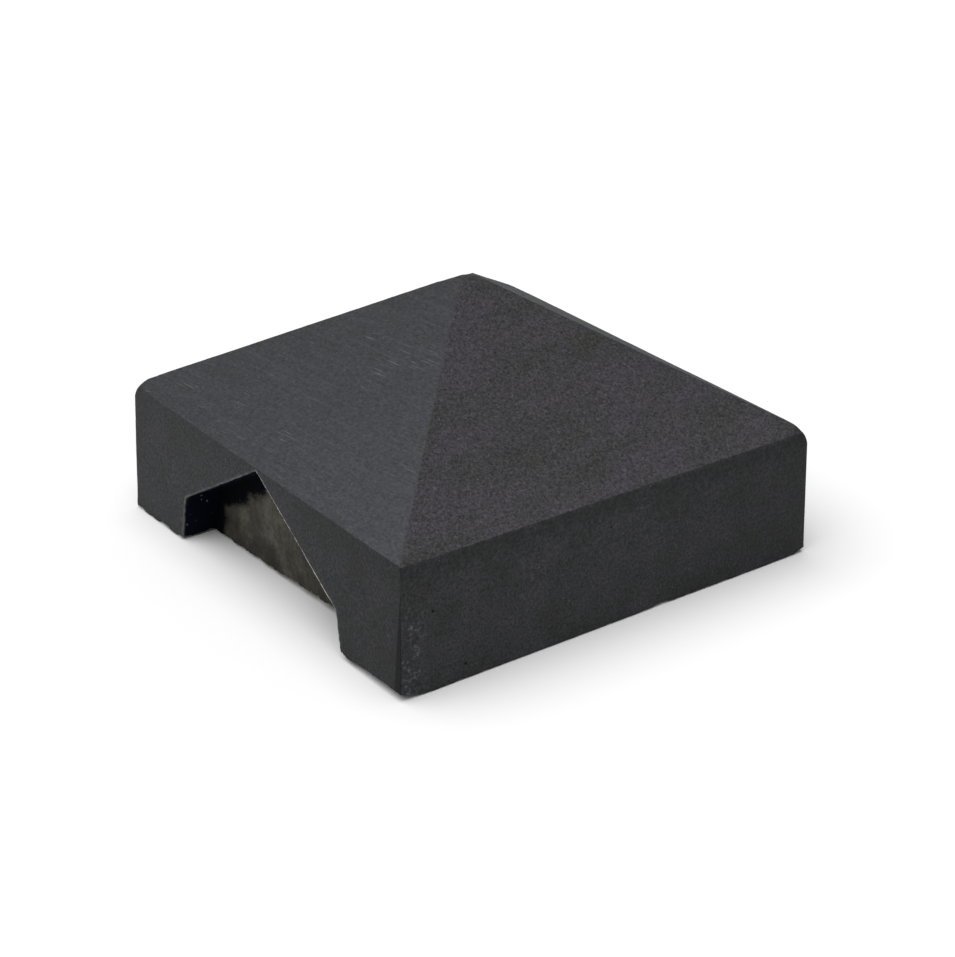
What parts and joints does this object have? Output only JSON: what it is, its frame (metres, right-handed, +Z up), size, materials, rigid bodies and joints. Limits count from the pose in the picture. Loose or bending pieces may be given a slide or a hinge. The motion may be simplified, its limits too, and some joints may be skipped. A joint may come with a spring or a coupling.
{
  "type": "fence post cap",
  "caption": "Square concrete cap for an end post, with a four-sided pointed roof and a gable-shaped notch in one side for the end of a coping.",
  "frame": {"origin": "middle of the underside, at the level that the cap rests on", "axes": "+Z up through the roof's point; the notch opens towards -X; Y runs along the notch's width"},
  "size_m": [0.24, 0.24, 0.1363],
  "materials": {
    "pigmented_concrete": "matte",
    "core_concrete": "matte",
    "mesh_steel": "satin"
  },
  "bodies": {
    "root": {"facing_layer": "pigmented_concrete", "core_fill": "core_concrete", "mesh_wire_long_1": "mesh_steel", "mesh_wire_long_2": "mesh_steel", "mesh_wire_long_3": "mesh_steel", "mesh_wire_long_4": "mesh_steel", "mesh_wire_cross_1": "mesh_steel", "mesh_wire_cross_2": "mesh_steel", "mesh_wire_cross_3": "mesh_steel", "mesh_wire_cross_4": "mesh_steel"}
  },
  "joints": []
}
